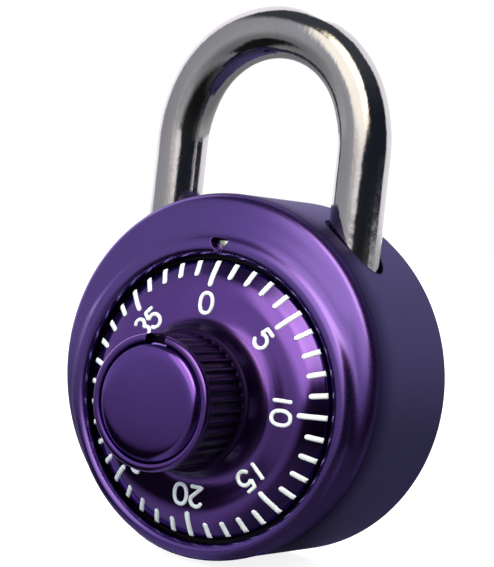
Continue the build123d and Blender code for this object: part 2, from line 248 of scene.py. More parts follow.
def inner_case_material():
    """Inner cup painted near black as shade in the gap behind the dial, with the pressed index pip rubbed bright."""
    m, t, sh = new_material("inner_case_steel")
    v, x, y, z = object_xyz(t)
    fine = noise(t, v, 1500, 3.0)
    d = t.nodes.new("ShaderNodeVectorMath")
    d.operation = "DISTANCE"
    t.links.new(v, d.inputs[0])
    d.inputs[1].default_value = (0.25 * mm, -20.0 * mm, (dial_z + 19.95) * mm)
    pip = smooth_step(t, d.outputs["Value"], 1.0 * mm, 1.25 * mm, 1.0, 0.0)
    # painted shade: near-black steel everywhere but the pip
    c = mix_colour(t, pip, mix_colour(t, fine, (0.020, 0.020, 0.024), (0.035, 0.035, 0.040)), (0.60, 0.62, 0.60))
    t.links.new(c, sh.inputs["Base Color"])
    sh.inputs["Metallic"].default_value = 1.0
    t.links.new(math_node(t, "ADD", math_node(t, "MULTIPLY", fine, 0.15), smooth_step(t, pip, 0.0, 1.0, 0.45, 0.16)), sh.inputs["Roughness"])
    bump(t, sh, fine, 0.1, 0.00002)
    return m


def paint_material():
    m, t, sh = new_material("white_marking_paint")
    v, x, y, z = object_xyz(t)
    fine = noise(t, v, 1500, 3.0)
    worn = noise(t, v, 520, 4.0, 0.6)
    c = mix_colour(t, fine, (0.84, 0.93, 0.97), (0.90, 0.98, 1.0))
    c = mix_colour(t, ramp(t, worn, [(0.62, (0, 0, 0)), (0.84, (1, 1, 1))]), c, (0.52, 0.52, 0.72))
    t.links.new(c, sh.inputs["Base Color"])
    rr = math_node(t, "MULTIPLY_ADD", fine, 0.15)
    rr.node.inputs[2].default_value = 0.32
    t.links.new(rr, sh.inputs["Roughness"])
    bump(t, sh, fine, 0.18, 0.00004)
    return m


def nylon_material():
    m, t, sh = new_material("natural_nylon")
    v, x, y, z = object_xyz(t)
    fine = noise(t, v, 900, 3.0)
    c = mix_colour(t, fine, (0.72, 0.70, 0.62), (0.80, 0.78, 0.70))
    t.links.new(c, sh.inputs["Base Color"])
    rr = math_node(t, "MULTIPLY_ADD", fine, 0.1)
    rr.node.inputs[2].default_value = 0.42
    t.links.new(rr, sh.inputs["Roughness"])
    bump(t, sh, fine, 0.1, 0.00003)
    return m


mats = {
    "case": case_material(),
    "dial": lacquer_material("dial_lacquer", (0.180, 0.076, 0.420), (0.198, 0.086, 0.450), 0.13, True),
    "cap": lacquer_material("cap_lacquer", (0.175, 0.078, 0.450), (0.190, 0.086, 0.480), 0.12),
    "rod": steel_material("polished_rod", (0.570, 0.565, 0.570), 0.060, (1, 1, 0.45), 1.0, 1500, 0.08),
    "sheet": steel_material("zinc_plated_sheet", (0.56, 0.57, 0.58), 0.26, (1, 1, 1), 0.1, 1200, 0.1),
    "inner": inner_case_material(),
    "pip": steel_material("rubbed_pip", (0.62, 0.65, 0.60), 0.16, (1, 1, 1), 0.1, 1300, 0.1),
    "pins": steel_material("turned_steel", (0.60, 0.60, 0.60), 0.18, (1, 4, 1), 0.1, 1500, 0.08),
    "spring": steel_material("spring_wire", (0.42, 0.42, 0.44), 0.22, (1, 1, 1), 0.1, 1500, 0.08),
    "brass": steel_material("stamped_brass", (0.75, 0.56, 0.24), 0.24, (1, 1, 1), 0.1, 1100, 0.08),
    "paint": paint_material(),
    "nylon": nylon_material(),
}
by_slot = {"case_anodised": "case", "dial_enamel": "dial", "cap_enamel": "cap", "rod_steel": "rod", "steel_sheet": "sheet",
           "steel_pins": "pins", "spring_steel": "spring", "wheel_brass": "brass", "nylon": "nylon", "dial_marks": "paint"}
for name, o in nodes.items():
    for s in o.material_slots:
        base = s.material.name.split(".")[0] if s.material else ""
        s.material = mats["inner" if name == "inner_case" else by_slot.get(base, "sheet")]

# ------------------------------------------------------------------ mesh tools


def new_object(name, verts, faces, material, angle=35.0):
    me = bpy.data.meshes.new(name)
    me.from_pydata((np.asarray(verts, float) * mm).tolist(), [], faces)
    me.validate()
    me.shade_smooth()
    me.set_sharp_from_angle(angle=math.radians(angle))
    me.materials.append(material)
    ob = bpy.data.objects.new(name, me)
    bpy.context.scene.collection.objects.link(ob)
    return ob


def ring_faces(rings, count, start=0, close_rings=False):
    out = []
    last = rings if close_rings else rings - 1
    for k in range(last):
        a, b = start + k * count, start + ((k + 1) % rings) * count
        for j in range(count):
            n = (j + 1) % count
            out.append((a + j, a + n, b + n, b + j))
    return out


def outward(ob):
    import bmesh
    bm = bmesh.new()
    bm.from_mesh(ob.data)
    bmesh.ops.recalc_face_normals(bm, faces=bm.faces)
    bm.to_mesh(ob.data)
    bm.free()


def cut(ob, cutters, angle=35.0):
    for c in cutters:
        md = ob.modifiers.new("cut", "BOOLEAN")
        md.operation, md.solver, md.object = "DIFFERENCE", "EXACT", c
    graph = bpy.context.evaluated_depsgraph_get()
    me = bpy.data.meshes.new_from_object(ob.evaluated_get(graph))
    me.name = ob.name
    ob.modifiers.clear()
    ob.data = me
    me.shade_smooth()
    me.set_sharp_from_angle(angle=math.radians(angle))
    for c in cutters:
        bpy.data.objects.remove(c)


def prism(name, outline, y0, y1):
    """Closed prism with an (x, z) outline, from y0 to y1."""
    n = len(outline)
    v = [(x, y0, z) for x, z in outline] + [(x, y1, z) for x, z in outline]
    f = [tuple(range(n)), tuple(range(2 * n - 1, n - 1, -1))] + [(i, (i + 1) % n, n + (i + 1) % n, n + i) for i in range(n)]
    ob = new_object(name, v, f, mats["case"])
    outward(ob)
    return ob


def curve_through(points, count):
    """Evenly spaced points on a smooth curve through the given (a, b) points."""
    p = np.asarray(points, float)
    p = np.vstack([2 * p[0] - p[1], p, 2 * p[-1] - p[-2]])
    out = []
    for i in range(1, len(p) - 2):
        a, b, c, d = p[i - 1], p[i], p[i + 1], p[i + 2]
        t1 = max(np.linalg.norm(b - a), 1e-9) ** 0.5
        t2 = max(np.linalg.norm(c - b), 1e-9) ** 0.5
        t3 = max(np.linalg.norm(d - c), 1e-9) ** 0.5
        m1 = t2 * ((b - a) / t1 - (c - a) / (t1 + t2) + (c - b) / t2)
        m2 = t2 * ((c - b) / t2 - (d - b) / (t2 + t3) + (d - c) / t3)
        u = np.linspace(0, 1, 24, endpoint=False)[:, None]
        out.append((2 * u ** 3 - 3 * u ** 2 + 1) * b + (u ** 3 - 2 * u ** 2 + u) * m1 + (-2 * u ** 3 + 3 * u ** 2) * c + (u ** 3 - u ** 2) * m2)
    q = np.vstack(out + [p[-2:-1]])
    return evenly(q, count)


def evenly(q, count):
    d = np.concatenate([[0], np.cumsum(np.linalg.norm(np.diff(q, axis=0), axis=1))])
    s = np.linspace(0, d[-1], count)
    return np.stack([np.interp(s, d, q[:, i]) for i in range(q.shape[1])], 1)


def arc(cx, cy, rx, ry, a0, a1, count):
    a = np.radians(np.linspace(a0, a1, count))
    return np.stack([cx + rx * np.cos(a), cy + ry * np.sin(a)], 1)


def lathe(profile, segments):
    """Rings about the dial's axis from (radius, y) points."""
    a = np.linspace(0, 2 * math.pi, segments, endpoint=False)
    p = np.asarray(profile, float)
    return np.stack([p[:, :1] * np.sin(a), np.repeat(p[:, 1:2], segments, 1), dial_z + p[:, :1] * np.cos(a)], 2)


def tube(points, radius, sides=10, closed=True):
    """Round bead along a path of 3-D points."""
    p = np.asarray(points, float)
    n = len(p)
    if closed:
        tan = np.roll(p, -1, 0) - np.roll(p, 1, 0)
    else:
        tan = np.gradient(p, axis=0)
    tan /= np.linalg.norm(tan, axis=1)[:, None]
    ref = np.array([0.0, 1.0, 0.0])
    verts = []
    for i in range(n):
        u = np.cross(tan[i], ref)
        u = np.cross(tan[i], np.array([1.0, 0, 0])) if np.linalg.norm(u) < 0.2 else u
        u /= np.linalg.norm(u)
        w = np.cross(u, tan[i])
        for k in range(sides):
            a = 2 * math.pi * k / sides
            verts.append(p[i] + radius * (math.cos(a) * u + math.sin(a) * w))
    return np.array(verts), ring_faces(n, sides, close_rings=closed)


# ------------------------------------------------------------------ outer case

case_r = 23.99
open_r = 18.48
rim_rise, rim_draw = 0.38, 0.42
# sections of the bead above, beside and below the dial, as (distance from the dial's axis, forward reach)
bead_high = curve_through([
    (18.2, 21.93), (18.9, 21.95), (19.4, 21.95), (19.9, 21.93), (20.1, 21.895), (20.3, 21.83), (20.5, 21.74), (20.7, 21.62),
    (20.9, 21.49), (21.1, 21.36), (21.3, 21.24), (21.5, 21.14), (21.8, 21.03), (22.2, 20.93), (22.8, 20.72), (24.0, 20.0), (26.0, 17.5), (30.0, 10.0)], 1200)
bead_side = curve_through([
    (18.2, 21.93), (18.9, 21.95), (19.4, 21.96), (19.9, 21.95), (20.2, 21.90), (20.4, 21.82), (20.6, 21.67), (20.8, 21.45),
    (21.0, 21.17), (21.2, 20.83), (21.4, 20.42), (21.7, 19.6), (22.2, 17.8), (23.0, 14.0), (30.0, -25.0)], 1200)
bead_low = curve_through([
    (18.2, 21.93), (18.9, 21.95), (19.35, 21.96), (19.65, 21.93), (19.9, 21.86), (20.1, 21.73), (20.3, 21.50), (20.46, 21.22),
    (20.60, 20.85), (20.74, 20.35), (20.9, 19.65), (21.2, 18.2), (22.0, 14.0), (30.0, -28.0)], 1200)
# section of the drum's face and rounded edge, as (distance from the drum's axis, forward reach)
drum_curve = curve_through([
    (0.0, 22.0), (16.0, 21.30), (19.0, 21.08), (20.0, 20.98), (20.8, 20.88), (21.6, 20.76), (22.2, 20.64), (22.7, 20.49), (23.1, 20.31),
    (23.4, 20.10), (23.64, 19.84), (23.82, 19.52), (23.93, 19.12), (23.99, 18.5), (24.0, 17.8), (24.02, 16.0), (24.05, 10.0), (24.3, -20.0)], 3000)
drum_slope = np.gradient(drum_curve[:, 1], np.maximum.accumulate(drum_curve[:, 0] + np.arange(len(drum_curve)) * 1e-7))


def corner(a, b, r):
    """Signed distance of the meeting of two half spaces with a rounded edge."""
    return np.sqrt(np.maximum(a + r, 0) ** 2 + np.maximum(b + r, 0) ** 2) + np.minimum(np.maximum(a + r, b + r), 0) - r


def blend_min(a, b, k):
    h = np.maximum(k - np.abs(a - b), 0) / k
    return np.minimum(a, b) - h * h * k * 0.25


def case_distance(rho, y, ca, sa):
    # the drum's front rim sits a little higher and tighter than its rolled back rim
    draw = np.clip((-y - 1.0) / 17.0, 0, 1)
    R = np.sqrt((rho * sa) ** 2 + (dial_z + rho * ca - rim_rise * draw) ** 2) + rim_draw * draw
    R0 = np.sqrt((rho * sa) ** 2 + (dial_z + rho * ca) ** 2)
    drum = np.maximum((-y - np.interp(R, drum_curve[:, 0], drum_curve[:, 1])) / np.sqrt(1 + np.interp(R, drum_curve[:, 0], drum_slope) ** 2), R - case_r)
    above = np.clip((ca - 0.10) / 0.50, 0, 1)
    below = np.clip((-0.12 - ca) / 0.40, 0, 1)
    above, below = above * above * (3 - 2 * above), below * below * (3 - 2 * below)

    def reach(q):
        return (above * np.interp(q, bead_high[:, 0], bead_high[:, 1]) + below * np.interp(q, bead_low[:, 0], bead_low[:, 1])
                + (1 - above - below) * np.interp(q, bead_side[:, 0], bead_side[:, 1]))

    h = reach(rho)
    e = 0.02
    slope = (reach(rho + e) - h) / e
    b = (-y - h) / np.sqrt(1 + slope * slope)
    return corner(open_r - rho, np.maximum(blend_min(drum, b, 0.5), np.maximum(R, R0) - case_r), 0.92)


segs = 480
phi = np.linspace(0, 2 * math.pi, segs, endpoint=False)
ca, sa = np.cos(phi), np.sin(phi)


def rho_of(R, y=0.0):
    draw = min(max((-y - 1.0) / 17.0, 0.0), 1.0)
    z = dial_z - rim_rise * draw
    return -z * ca + np.sqrt((R - rim_draw * draw) ** 2 - (z * sa) ** 2)


C = np.array([20.0, -19.0])
rim_rho = rho_of(case_r, -16.9)
start = math.atan2(-19.76 - C[1], open_r - C[0])
stop = np.arctan2(-16.9 - C[1], rim_rho - C[0])
n_rays = 420
u = np.linspace(0, 1, n_rays)[:, None]
ang = (start % (2 * math.pi)) * (1 - u) + (stop + 2 * math.pi)[None, :] * u
dx, dy = np.cos(ang), np.sin(ang)
lo, hi = np.full(ang.shape, 0.05), np.full(ang.shape, 9.5)
for _ in range(40):
    mid = (lo + hi) / 2
    inside = case_distance(C[0] + dx * mid, C[1] + dy * mid, ca[None, :], sa[None, :]) < 0
    lo, hi = np.where(inside, mid, lo), np.where(inside, hi, mid)
trace = np.stack([C[0] + dx * lo, C[1] + dy * lo], 2)
rings = []
lip_n, face_n = 15, 96
front = np.zeros((lip_n + face_n, segs, 2))
for j in range(segs):
    c = trace[:, j]
    k = int(np.argmax(c[:, 0] > 19.4))
    front[:lip_n, j] = evenly(c[:k + 1], lip_n + 1)[:-1]
    front[lip_n:, j] = evenly(c[k:], face_n)


def to_xyz(rho, y):
    return np.stack([rho * sa, np.broadcast_to(y, rho.shape), dial_z + rho * ca], 1)


for k in range(lip_n + face_n):
    rings.append(to_xyz(front[k, :, 0], front[k, :, 1]))
for y in [-16.6] + list(np.linspace(-16.0, -0.95, 26)):
    rings.append(to_xyz(rho_of(case_r, y), y))
for a in np.radians(np.linspace(12, 90, 8)):
    rings.append(to_xyz(rho_of(23.35 + 0.65 * math.cos(a)), -0.80 + 0.65 * math.sin(a)))
for R, y in ((22.4, -0.15), (21.35, -0.15), (21.18, -0.22), (21.1, -0.38), (21.1, -1.0), (22.3, -1.0), (23.2, -1.0),
             (23.2, -5.0), (23.2, -10.0), (23.2, -15.0), (23.2, -19.1), (22.6, -19.76)):
    rings.append(to_xyz(rho_of(R, y), y))
rings.append(to_xyz(np.full(segs, 18.9), -19.76))
rings = np.array(rings)
case = new_object("outer_case_shell", rings.reshape(-1, 3), ring_faces(len(rings), segs, close_rings=True), mats["case"])
outward(case)

leg_x, rod_y, hole_r = 13.85, -11.45, 4.15
index_top, index_tip = dial_z + 20.72, dial_z + 18.70


def rounded_outline(corners, count=8):
    """Outline with rounded corners from (x, z, radius)."""
    pts = []
    n = len(corners)
    for i in range(n):
        p = np.array(corners[i][:2])
        r = corners[i][2]
        a = np.array(corners[i - 1][:2]) - p
        b = np.array(corners[(i + 1) % n][:2]) - p
        a, b = a / np.linalg.norm(a), b / np.linalg.norm(b)
        half = math.acos(float(np.clip(a @ b, -1, 1))) / 2
        d = r / math.tan(half)
        s, e = p + a * d, p + b * d
        o = p + (a + b) / np.linalg.norm(a + b) * (r / math.sin(half))
        t1 = math.atan2(*(s - o)[::-1])
        t2 = math.atan2(*(e - o)[::-1])
        while t2 - t1 > math.pi:
            t2 -= 2 * math.pi
        while t2 - t1 < -math.pi:
            t2 += 2 * math.pi
        for w in np.linspace(t1, t2, count):
            pts.append((o[0] + r * math.cos(w), o[1] + r * math.sin(w)))
    return pts


index_outline = rounded_outline([(-1.50, index_top, 0.34), (1.50, index_top, 0.34), (1.12, index_tip + 0.95, 1.2), (0.0, index_tip - 0.14, 0.26), (-1.12, index_tip + 0.95, 1.2)])
cutters = [prism("index_cutter", index_outline, -24.0, -19.5)]
for sx in (-1, 1):
    a = np.linspace(0, 2 * math.pi, 96, endpoint=False)
    v = [(sx * leg_x + hole_r * math.cos(w), rod_y + hole_r * math.sin(w), z) for z in (8.0, 30.0) for w in a]
    f = [tuple(range(96)), tuple(range(191, 95, -1))] + ring_faces(2, 96)
    c = new_object("leg_cutter", v, f, mats["case"])
    outward(c)
    cutters.append(c)
cut(case, cutters)
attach(case, "casing")
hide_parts("outer_case")


def case_front_y(x, z):
    """Front surface of the case above a point of its face."""
    rho, w = math.hypot(x, z - dial_z), math.atan2(x, z - dial_z)
    a, b = -23.0, -19.5
    for _ in range(40):
        m = (a + b) / 2
        if case_distance(np.array([rho]), np.array([m]), math.cos(w), math.sin(w))[0] < 0:
            b = m
        else:
            a = m
    return (a + b) / 2


lip = evenly(np.array(index_outline + index_outline[:1]), 121)[:-1]
v, f = tube([(x, case_front_y(x, z) + 0.03, z) for x, z in lip], 0.085, 10)
o = new_object("index_hole_lip", v, f, mats["case"], 60)
outward(o)
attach(o, "casing")
# bright pressed pip under the hole
pip_x, pip_z = 0.18, dial_z + 19.95
prof = [(0.0, -21.16)] + [(1.30 * math.sin(w), -20.36 - 0.8 * math.cos(w)) for w in np.linspace(0.12, math.pi / 2, 14)] + [(1.30, -19.72)]
v = [(pip_x, prof[0][1], pip_z)]
for r, y in prof[1:]:
    v += [(pip_x + 1.08 * r * math.sin(w), y, pip_z + 0.92 * r * math.cos(w)) for w in np.linspace(0, 2 * math.pi, 48, endpoint=False)]
f = [(0, 1 + j, 1 + (j + 1) % 48) for j in range(48)] + ring_faces(len(prof) - 1, 48, start=1)
f.append(tuple(range(1 + (len(prof) - 2) * 48, 1 + (len(prof) - 1) * 48)))
o = new_object("index_pip", v, f, mats["pip"], 60)
outward(o)
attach(o, "casing")
for sx, side in ((-1, "toe"), (1, "heel")):
    path = []
    for w in np.linspace(0, 2 * math.pi, 120, endpoint=False):
        x = sx * leg_x + (hole_r - 0.02) * math.cos(w)
        y = rod_y + (hole_r - 0.02) * math.sin(w)
        draw = (-y - 1.0) / 17.0
        path.append((x, y, rim_rise * draw + math.sqrt((case_r - rim_draw * draw - 0.07) ** 2 - x * x)))
    v, f = tube(path, 0.13, 10)
    o = new_object(side + "_leg_hole_lip", v, f, mats["case"], 60)
    outward(o)
    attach(o, "casing")

# ------------------------------------------------------------------ dial and knob

dial_curve = curve_through([
    (17.50, t0 - 0.06), (16.60, t0 - 0.62), (15.80, t0 - 1.10), (15.10, t0 - 1.42), (14.30, t0 - 1.63), (13.00, t0 - 1.76),
    (11.80, t0 - 1.86), (11.10, t0 - 1.95), (10.50, t0 - 2.10), (10.00, t0 - 2.42), (9.60, t0 - 2.90), (9.34, t0 - 3.48), (9.20, t0 - 4.03), (9.12, t0 - 4.42)], 110)


def dial_y(r):
    c = dial_curve[::-1]
    y = np.interp(r, c[:, 0], c[:, 1])
    bevel = t0 - 0.06 + (np.asarray(r) - 17.50) * (0.42 / 0.45)
    return np.where(np.asarray(r) > 17.50, bevel, y)


knob_r, flute_n, flute_depth = 8.45, 40, 0.34
knob_front, knob_back = t0 - 13.0, t0 - 4.60
half = math.pi / flute_n
groove = 0.56 / knob_r
sector = np.concatenate([
    [-half], np.linspace(-groove - 0.10 / knob_r, -groove, 3), np.linspace(-groove, groove, 11)[1:-1],
    np.linspace(groove, groove + 0.10 / knob_r, 3)])
sector = np.unique(np.round(sector, 6))
angles, cuts_in = [], []
for i in range(flute_n):
    for s in sector:
        angles.append((i + 0.5) * 2 * half + s)
        q = abs(s) / groove
        cuts_in.append(max(0.0, 1 - q * q) ** 0.72 if q < 1 else 0.0)
angles, cuts_in = np.array(angles), np.array(cuts_in)
ks = len(angles)


def knob_ring(r, y, share=0.0):
    rr = r - flute_depth * share * cuts_in
    return np.stack([rr * np.sin(angles), np.full(ks, y), dial_z + rr * np.cos(angles)], 1)


kr = []
back = [(2.05, t0 + 0.50), (5.0, t0 + 0.50), (5.0, t0 - 0.40), (8.0, t0 - 0.90), (13.6, t0 - 0.25), (16.6, t0 + 0.45), (16.6, t0 + 0.80),
        (17.86, t0 + 0.80), (17.95, t0 + 0.71), (17.95, t0 + 0.40), (17.90, t0 + 0.31), (17.55, t0 - 0.02)]
for r, y in back:
    kr.append(knob_ring(r, y))
for r, y in dial_curve:
    kr.append(knob_ring(r, y))
for r, y in ((9.06, t0 - 4.53), (8.95, t0 - 4.60), (8.60, t0 - 4.62)):
    kr.append(knob_ring(r, y))
for y, s in ((knob_back - 0.04, 0.55), (knob_back - 0.12, 0.9), (knob_back - 0.24, 1.0)):
    kr.append(knob_ring(knob_r, y, s))
run_out = knob_front + 0.95
for y in np.linspace(knob_back - 0.9, run_out + 0.5, 9):
    kr.append(knob_ring(knob_r, y, 1.0))
for q in (0.35, 0.6, 0.8, 0.92, 1.0):
    kr.append(knob_ring(knob_r, run_out + 0.5 - 0.62 * q, math.sqrt(max(0.0, 1 - q * q)) if q < 1 else 0.0))
for r, y in arc(7.95, knob_front + 0.46, 0.50, 0.46, 0, -90, 12):
    kr.append(knob_ring(r, y))
for r, y in ((7.62, knob_front), (7.50, knob_front + 0.04), (7.44, knob_front + 0.14), (7.42, t0 - 12.35), (6.9, t0 - 12.35), (6.9, t0 - 10.6), (2.05, t0 - 10.6)):
    kr.append(knob_ring(r, y))
kr = np.array(kr)
dial = new_object("dial_and_knob", kr.reshape(-1, 3), ring_faces(len(kr), ks, close_rings=True), mats["dial"], 32)
outward(dial)
nick = prism("notch_cutter", rounded_outline([(-1.42, dial_z + 7.15, 0.1), (1.42, dial_z + 7.15, 0.1), (1.42, dial_z + 10.0, 0.1), (-1.42, dial_z + 10.0, 0.1)], 4), t0 - 14.0, t0 - 11.60)
cut(dial, [nick], 32)
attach(dial, "dial_and_spindle")
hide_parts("dial")

cap = [(0.0, t0 - 13.47)] + [(r, t0 - 13.47 + 0.045 * (r / 5.6) ** 2) for r in np.linspace(0.8, 5.6, 11)]
cap += [tuple(p) for p in curve_through([(5.90, t0 - 13.415), (6.15, t0 - 13.395), (6.38, t0 - 13.36), (6.62, t0 - 13.29), (6.82, t0 - 13.19), (7.00, t0 - 13.06),
                                         (7.15, t0 - 12.90), (7.26, t0 - 12.73), (7.33, t0 - 12.55), (7.35, t0 - 12.45)], 26)]
cap += [(7.35, t0 - 12.38), (6.85, t0 - 12.38), (6.85, t0 - 10.65)]
cr = lathe(cap[1:], 160)
v = cr.reshape(-1, 3).tolist()
f = ring_faces(len(cr), 160)
v.append((0, cap[0][1], dial_z))
f += [(len(v) - 1, j, (j + 1) % 160) for j in range(160)]
f.append(tuple(range((len(cr) - 1) * 160, len(cr) * 160)))
disc = new_object("knob_face", v, f, mats["cap"], 40)
outward(disc)
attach(disc, "dial_and_spindle")
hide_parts("knob_cap")

# ------------------------------------------------------------------ ticks and numbers


def mark_ribbon(path, half_width, height, closed=False, blunt_end=False):
    """Raised rounded line on the dial along (x, z) points measured from its axis."""
    p = np.asarray(path, float)
    n = len(p)
    tan = (np.roll(p, -1, 0) - np.roll(p, 1, 0)) if closed else np.gradient(p, axis=0)
    tan /= np.linalg.norm(tan, axis=1)[:, None]
    side = np.stack([-tan[:, 1], tan[:, 0]], 1)
    d = np.concatenate([[0], np.cumsum(np.linalg.norm(np.diff(p, axis=0), axis=1))])
    w = np.ones(n)
    if not closed:
        for i in range(n):
            near = d[i] if blunt_end else min(d[i], d[-1] - d[i])
            q = min(1.0, near / half_width)
            w[i] = math.sqrt(max(0.0, 1 - (1 - q) ** 2))
    rows = []
    section = np.linspace(-1, 1, 11)
    for i in range(n):
        row = []
        for s in section:
            q = p[i] + side[i] * s * half_width * max(w[i], 0.02)
            r = float(np.hypot(*q))
            base = float(dial_y(r))
            lift = height * (max(0.0, 1 - abs(s) ** 2.6) ** 0.55) * (0.25 + 0.75 * w[i]) if w[i] > 0 else 0.0
            row.append((q[0], base + 0.06 - lift - (0.06 if abs(s) < 1 else 0.0), dial_z + q[1]))
        for s in (1, -1):
            q = p[i] + side[i] * s * half_width * max(w[i], 0.02)
            row.append((q[0], float(dial_y(float(np.hypot(*q)))) + 0.16, dial_z + q[1]))
        rows.append(row)
    m = 13
    v = np.array(rows).reshape(-1, 3)
    f = ring_faces(n, m, close_rings=closed)
    if not closed:
        f.append(tuple(range(m)))
        f.append(tuple(range((n - 1) * m, n * m)))
    return v, f


def merged(name, pieces, material, angle=50):
    verts, faces, at = [], [], 0
    for v, f in pieces:
        verts.append(v)
        faces += [tuple(i + at for i in q) for q in f]
        at += len(v)
    ob = new_object(name, np.vstack(verts), faces, material, angle)
    outward(ob)
    return ob


def polar_points(angle, rows):
    """(along, outward) pairs at a dial angle to (x, z) about the axis."""
    c, s = math.cos(angle), math.sin(angle)
    return [(v * s + u * c, v * c - u * s) for u, v in rows]


first = math.radians(-0.5)
ticks = []
for i in range(40):
    a = first + i * math.radians(9)
    inner = 14.38 if i % 5 == 0 else 15.70
    r = np.concatenate([np.linspace(inner, inner + 0.35, 7), np.linspace(inner + 0.35, 17.74, 16)[1:]])
    ticks.append(mark_ribbon(polar_points(a, [(0.0, q) for q in r]), 0.37, 0.26, blunt_end=True))
ticks = merged("dial_ticks", ticks, mats["paint"])
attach(ticks, "dial_and_spindle")


def strokes(digit):
    """Centre lines of one upright figure, as (across, up) points; 2 wide and 2.6 tall."""
    def bow(cx, cy, rx, ry, a0, a1, n=22):
        return [tuple(q) for q in arc(cx, cy, rx, ry, a0, a1, n)]
    def line(a, b, n=10):
        return [(a[0] + (b[0] - a[0]) * k / (n - 1), a[1] + (b[1] - a[1]) * k / (n - 1)) for k in range(n)]
    if digit == "0":
        q = []
        for k in range(56):
            w = 2 * math.pi * k / 56
            c, s = math.cos(w), math.sin(w)
            q.append((0.90 * math.copysign(abs(c) ** 0.86, c), 1.28 * math.copysign(abs(s) ** 0.86, s)))
        return [(q, True)]
    if digit == "1":
        return [(line((0, -1.34), (0, 1.34), 22), False)]
    if digit == "2":
        top = bow(0, 0.50, 0.80, 0.78, 172, -28, 24)
        return [(top + line(top[-1], (-0.86, -1.26), 12)[1:] + line((-0.86, -1.26), (0.90, -1.26), 12)[1:], False)]
    if digit == "3":
        a = bow(-0.02, 0.62, 0.74, 0.66, 160, -78, 22)
        b = bow(-0.02, -0.60, 0.84, 0.68, 80, -160, 24)
        return [(a, False), (b, False)]
    top = line((0.78, 1.27), (-0.60, 1.27), 10)
    stem = line((-0.60, 1.27), (-0.74, 0.18), 8)
    bowl = bow(-0.02, -0.40, 0.88, 0.88, 138, -168, 30)
    return [(top + stem[1:], False), ([(-0.74, 0.18)] + bowl, False)]


numbers = []
places = {"0": [(-0.15, "0")], "5": [(-0.05, "5")], "10": [(-1.50, "1"), (0.62, "0")], "15": [(-1.50, "1"), (0.62, "5")],
          "20": [(-1.22, "2"), (1.12, "0")], "25": [(-1.18, "2"), (1.08, "5")], "30": [(-1.12, "3"), (1.14, "0")], "35": [(-1.06, "3"), (1.08, "5")]}
for k, (text, digits) in enumerate(places.items()):
    a = first + k * math.radians(45)
    for shift, d in digits:
        for path, closed in strokes(d):
            q = np.array(path)
            if not closed:
                q = evenly(q, max(12, int(len(q) * 1.4)))
            rows = [(shift + x, 12.30 + z) for x, z in q]
            numbers.append(mark_ribbon(polar_points(a, rows), 0.275, 0.20, closed))
numbers = merged("dial_numbers", numbers, mats["paint"])
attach(numbers, "dial_and_spindle")

# ------------------------------------------------------------------ stage

floor_z = cad_box[0].z - 0.02 * mm
mesh = bpy.data.meshes.new("stage_floor")
ring = [(math.cos(a * math.pi / 48) * 12, math.sin(a * math.pi / 48) * 12, floor_z) for a in range(96)]
mesh.from_pydata(ring, [], [list(range(96))])
floor = bpy.data.objects.new("stage_floor", mesh)
bpy.context.scene.collection.objects.link(floor)
m = bpy.data.materials.new("pale_floor")
m.use_nodes = True
t = m.node_tree
t.nodes.clear()
out = t.nodes.new("ShaderNodeOutputMaterial")
v, x, y, z = object_xyz(t)
reach = t.nodes.new("ShaderNodeVectorMath")
reach.operation = "LENGTH"
t.links.new(v, reach.inputs[0])
far = math_node(t, "LOGARITHM", math_node(t, "MAXIMUM", reach.outputs["Value"], 0.01), 10.0)
# pools of light on the table: dim beside the lock, brighter away from it
glow = ramp(t, math_node(t, "MULTIPLY_ADD", far, 0.5), [(0.0, (0.02, 0.02, 0.03)), (1.0, (1, 1, 1))], "LINEAR")
glow.node.inputs[0].links[0].from_node.inputs[2].default_value = 1.0
e = glow.node.color_ramp.elements
stops = [(25, 0.30), (50, 0.30), (80, 0.26), (140, 0.25), (220, 0.31), (400, 0.44), (800, 0.52)]


def place_on(mm_out):
    return 0.5 * math.log10(mm_out / 1000.0) + 1.0


e[0].position, e[0].color = place_on(stops[0][0]), (0.30, 0.30, 0.33, 1)
e[1].position, e[1].color = place_on(stops[-1][0]), (0.52, 0.52, 0.53, 1)
for d_mm, c in stops[1:-1]:
    s = e.new(place_on(d_mm))
    s.color = (c, c, c * 1.04, 1)
faz = math_node(t, "MULTIPLY", math_node(t, "ARCTAN2", x, math_node(t, "MULTIPLY", y, -1.0)), 180 / math.pi)
shade = smooth_step(t, faz, -2, 24, 1.0, 0.0)
shade = math_node(t, "ADD", shade, smooth_step(t, faz, 88, 118, 0.0, 2.8))
shade = times(t, shade, smooth_step(t, faz, -100, -66, 1.8, 1.0))
side_lit = math_node(t, "ADD", smooth_step(t, faz, -8, 20, 1.0, 0.32), smooth_step(t, faz, 58, 92, 0.0, 1.1))
near = times(t, smooth_step(t, reach.outputs["Value"], 0.045, 0.11, 0.9, 0.12), side_lit)
shade = math_node(t, "MAXIMUM", shade, near)
# dark card on the left in front
brink = smooth_step(t, faz, -28, -14, 0.115, 0.080)
card = times(t, smooth_step(t, faz, -60, -44), smooth_step(t, faz, -10, -4, 1.0, 0.0),
             smooth_step(t, reach.outputs["Value"], brink, math_node(t, "ADD", brink, 0.03), 0.96, 0.15),
             smooth_step(t, reach.outputs["Value"], 0.034, 0.052))
shade = times(t, shade, math_node(t, "SUBTRACT", 1.0, card))
glow = mix_colour(t, shade, (0, 0, 0), glow)
lp = t.nodes.new("ShaderNodeLightPath")
em = t.nodes.new("ShaderNodeEmission")
t.links.new(glow, em.inputs["Color"])
pale = node(t, "ShaderNodeEmission", Color=(1, 1, 1, 1), Strength=0.86)
d = node(t, "ShaderNodeBsdfDiffuse", Color=(0.55, 0.55, 0.55, 1))
a = t.nodes.new("ShaderNodeAddShader")
t.links.new(d.outputs[0], a.inputs[0])
t.links.new(pale.outputs[0], a.inputs[1])
mx = t.nodes.new("ShaderNodeMixShader")
t.links.new(lp.outputs["Is Camera Ray"], mx.inputs[0])
t.links.new(em.outputs[0], mx.inputs[1])
